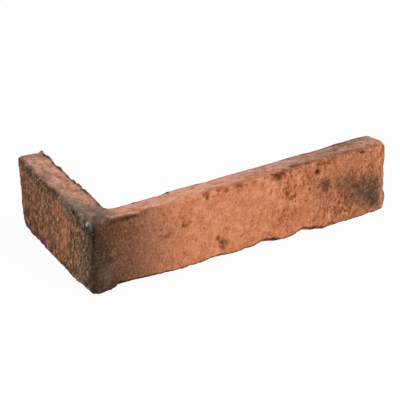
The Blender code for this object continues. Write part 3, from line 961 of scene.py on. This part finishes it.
def blendColour(tree, amount, first, second):
    node = addNode(tree, "ShaderNodeMix", data_type="RGBA")
    feed(tree, node.inputs["Factor"], amount)
    feed(tree, node.inputs[6], first)
    feed(tree, node.inputs[7], second)
    return node.outputs[2]


def newMaterial(name, roughness):
    material = bpy.data.materials.new(name)
    material.use_nodes = True
    tree = material.node_tree
    shader = tree.nodes["Principled BSDF"]
    shader.inputs["Roughness"].default_value = roughness
    return material, tree, shader


def concreteMaterial():
    c = terracotta
    material, tree, shader = newMaterial("castTerracotta", c["roughness"])
    shader.inputs["Specular IOR Level"].default_value = c["gloss"]
    place = addNode(tree, "ShaderNodeTexCoord").outputs["Object"]

    def stored(name):
        return addNode(tree, "ShaderNodeAttribute", attribute_name=name).outputs["Fac"]

    def times(first, *others):
        for value in others:
            first = maths(tree, "MULTIPLY", first, value)
        return first

    def minus(first, second):
        return maths(tree, "SUBTRACT", first, second)

    def most(first, second):
        return maths(tree, "MAXIMUM", first, second)

    def plus(first, *others):
        for value in others:
            first = maths(tree, "ADD", first, value)
        return first

    def step(value, *ends):
        return spread(tree, value, *ends)

    def line(value, *ends):
        return spread(tree, value, *ends, smooth=False)

    def swing(value, amount):
        return line(value, 0.28, 0.72, -amount, amount)

    def cover(amount, colour):
        return blendColour(tree, amount, tone, colour)

    # The unfolded place, leaning as the strokes of the relief do
    cast = addNode(tree, "ShaderNodeAttribute", attribute_name="castPlace").outputs["Vector"]
    x, y, z = separate(tree, cast)
    upright = combine(tree, minus(x, times(z, c["strokeLean"])), y, z)

    squashed = stretch(tree, place, c["squash"])
    broad = cloud(tree, place, c["broadScale"], 3, 0.55)
    patchy = cloud(tree, squashed, c["patchScale"], 3, 0.6, 0.5)
    middle = cloud(tree, place, c["middleScale"], 3, 0.6)
    strand = cloud(tree, stretch(tree, upright, c["strokeScale"]), 1, 2, 0.6, 0.9)
    fine = cloud(tree, stretch(tree, upright, c["fibreScale"]), 1, 3, 0.65, 0.5)
    streak = cloud(tree, stretch(tree, cast, c["streakScale"]), 1, 3, 0.6, 0.4)
    specks = cloud(tree, squashed, c["speckScale"], 3, 0.6, 0.6)
    grit = cloud(tree, place, c["gritScale"], 2, 0.6)

    # Grain: the light grains are paler, the dark ones deeper in colour
    fibre = stored("fibre")
    topShare = stored("topShare")
    onHeader = stored("headerShare")
    stain = stored("stain")
    ash = stored("ash")
    grain = plus(
        times(swing(strand, 0.86), plus(times(fibre, 0.84), 0.16)),
        times(swing(fine, 0.76), plus(times(fibre, 0.16), 0.62)),
        times(stored("stroke"), times(fibre, 1.7)),
        swing(grit, 0.25), swing(middle, 0.36), swing(patchy, 0.38),
    )
    grain = times(grain, line(topShare, 0, 1, 1.0, 0.85))
    smear = plus(swing(streak, 0.26), swing(broad, 0.42), swing(patchy, 0.34), swing(middle, 0.20))
    grain = plus(times(grain, step(ash, 0.1, 0.9, 1.0, 0.60)), times(smear, topShare))
    light = times(line(grain, 0.0, 1.2), step(onHeader, 0, 1, 0.66, 0.95))
    tone = blendColour(tree, times(topShare, 0.80), c["clay"], c["topPink"])
    lilac = plus(stored("lilac"), times(topShare, 0.25))
    tone = cover(times(lilac, step(patchy, 0.36, 0.60)), c["lilac"])
    tone = cover(times(stored("dusty"), step(patchy, 0.25, 0.6, 0.3, 0.75)), c["dust"])
    tone = cover(times(step(broad, 0.45, 0.68), 0.20), c["deepClay"])
    tone = cover(times(stored("rust"), step(middle, 0.3, 0.6)), c["rust"])
    tone = cover(light, c["salmon"])
    tone = cover(line(grain, 0.0, -1.1), c["deepClay"])

    # Soot: worn off the crests of the strokes and looser where it thins out
    loose = times(stain, minus(1.0, stain), 4.0)
    stir = plus(times(grain, -0.18), swing(middle, 0.12), swing(patchy, 0.14))
    stir = plus(stir, times(swing(streak, -0.22), topShare))
    sooty = maths(tree, "ADD", stain, times(loose, stir), clamp=True)
    soot = blendColour(tree, onHeader, c["soot"], c["headerSoot"])
    soot = blendColour(tree, times(topShare, 0.85), soot, c["topSoot"])
    tone = cover(sooty, blendColour(tree, ash, soot, c["ash"]))

    # Tan dust on the crests where the soot lies, specks, painted shade in the pits, and the crust along
    # the edges with the painted shade under the front
    dust = times(light, stain, step(stain, 0.92, 1.0, 1.0, 0.35))
    dust = times(dust, step(onHeader, 0, 1, 0.42, 1.05))
    dust = times(dust, step(patchy, 0.30, 0.62, 0.60, 1.10))
    dust = times(dust, minus(1.0, times(most(ash, stored("rust")), 0.7)))
    tone = cover(dust, c["tan"])
    edge = line(stored("speckle"), 0.0, 1.0, 0.70, 0.47)
    speck = times(step(minus(specks, edge), 0.0, 0.07), step(stain, 0.3, 0.7, 0.8, 0.3))
    brown = times(stored("brown"), step(specks, 0.42, 0.54, 0.3, 1.0))
    tone = cover(most(speck, brown), c["speck"])
    # Painted shade in the pits, the listed ones and those of the relief, darker where the bowl is deeper
    dark = most(stored("dark"), times(stored("bowl"), 0.45))
    tone = cover(times(dark, step(fine, 0.3, 0.6, 0.6, 1.0)), c["pit"])
    # The rim field is crust with the painted shade under the front; the black field holds black marks
    # with the painted shade below the lifted bottom edge
    rim = times(stored("rim"), step(specks, 0.42, 0.55, 0.45, 1.05))
    tone = cover(most(rim, stored("blackAndShade")), c["crust"])
    tone = cover(times(stored("fleck"), step(specks, 0.50, 0.40, 0.1, 1.0)), c["ashFleck"])

    # Light and dark of the single grains, with painted shade in the hollows of the relief and painted
    # light on its crests
    value = plus(swing(fine, 0.14), swing(grit, 0.11), times(swing(strand, 0.14), fibre))
    value = times(plus(value, swing(middle, 0.06)), step(stain, 0.2, 0.7, 0.6, 1.5))
    value = times(value, step(onHeader, 0, 1, 1.15, 0.9))
    # painted shade in the relief's hollows and painted light on its crests, from the stored height
    value = times(plus(value, 1.0), line(stored("rise"), -0.6, 0.5, 0.80, 1.10))
    tree.links.new(scaleBy(tree, tone, value), shader.inputs["Base Color"])

    height = plus(times(strand, times(fibre, 0.8)), times(fine, 0.6), times(grit, 0.25))
    relief = addNode(tree, "ShaderNodeBump")
    relief.inputs["Distance"].default_value = c["bumpDepth"]
    relief.inputs["Strength"].default_value = 1.0
    tree.links.new(height, relief.inputs["Height"])
    tree.links.new(relief.outputs["Normal"], shader.inputs["Normal"])
    return material


# Studio

studio = {
    "floorSize": 3.0,
    "floorColour": (0.70, 0.70, 0.70, 1),
    "floorRoughness": 0.9,
    "floorGlow": 0.95,
    "white": (1, 1, 1, 1),
    "world": 0.42,
    "lamps": (
        ("keyLamp", (0.55, -0.95, 1.05), 0.7, 12.5),
        ("topLamp", (-0.1, 0.3, 1.4), 1.2, 7.0),
        ("fillLamp", (-1.2, -0.5, 0.7), 0.8, 2.5),
    ),
}


# 1 for the rays that see the ground, 0 for those that only light things
def seenRays(tree):
    path = tree.nodes.new("ShaderNodeLightPath")
    seen = maths(tree, "MAXIMUM", path.outputs["Is Camera Ray"], path.outputs["Is Glossy Ray"])
    return maths(tree, "MAXIMUM", seen, path.outputs["Is Transmission Ray"])


def setStudio():
    s = studio
    half = s["floorSize"] / 2
    mesh = bpy.data.meshes.new("floor")
    corners = [(-half, -half, 0), (half, -half, 0), (half, half, 0), (-half, half, 0)]
    mesh.from_pydata(corners, [], [(0, 1, 2, 3)])
    floor = addObject("floor", mesh)
    material, tree, shader = newMaterial("paleFloor", s["floorRoughness"])
    shader.inputs["Base Color"].default_value = s["floorColour"]
    glow = addNode(tree, "ShaderNodeEmission")
    glow.inputs["Color"].default_value = s["white"]
    mix = tree.nodes.new("ShaderNodeMixShader")
    tree.links.new(maths(tree, "MULTIPLY", seenRays(tree), s["floorGlow"]), mix.inputs[0])
    tree.links.new(shader.outputs[0], mix.inputs[1])
    tree.links.new(glow.outputs[0], mix.inputs[2])
    tree.links.new(mix.outputs[0], tree.nodes["Material Output"].inputs["Surface"])
    mesh.materials.append(material)

    world = bpy.data.worlds.new("studio")
    bpy.context.scene.world = world
    world.use_nodes = True
    tree = world.node_tree
    sky = tree.nodes["Background"]
    sky.inputs["Color"].default_value = s["white"]
    strength = spread(tree, seenRays(tree), 0, 1, s["world"], 1.0, smooth=False)
    tree.links.new(strength, sky.inputs["Strength"])

    for name, place, size, power in s["lamps"]:
        data = bpy.data.lights.new(name, "AREA")
        data.shape = "DISK"
        data.size = size
        data.energy = power
        lamp = addObject(name, data)
        lamp.location = place
        lamp.rotation_euler = Vector(place).to_track_quat("Z", "Y").to_euler()


# Camera, at the photograph's view

cameraView = {
    "azimuth": -28.92,
    "elevation": 28.12,
    "roll": -1.008,
    "distance": 0.9762,
    "target": (-0.01366, -0.01962, 0.0266),
    "lens": 137.3,
    "sensorWidth": 36,
}


def setCamera():
    c = cameraView
    azimuth, elevation, roll = (math.radians(c[name]) for name in ("azimuth", "elevation", "roll"))
    back = Vector((
        math.sin(azimuth) * math.cos(elevation),
        -math.cos(azimuth) * math.cos(elevation),
        math.sin(elevation),
    ))
    right = (-back).cross(Vector((0, 0, 1))).normalized()
    up = right.cross(-back)
    cosine, sine = math.cos(roll), math.sin(roll)
    right, up = right * cosine + up * sine, up * cosine - right * sine
    data = bpy.data.cameras.new("camera")
    data.lens = c["lens"]
    data.sensor_width = c["sensorWidth"]
    camera = addObject("camera", data)
    turn = Matrix((right, up, back)).transposed().to_4x4()
    turn.translation = Vector(c["target"]) + back * c["distance"]
    camera.matrix_world = turn
    bpy.context.scene.camera = camera


setCamera()
setStudio()
slip = castSlip(concreteMaterial())
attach(slip, "root")
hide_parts("corner_slip")
bpy.context.scene.view_settings.view_transform = "Standard"
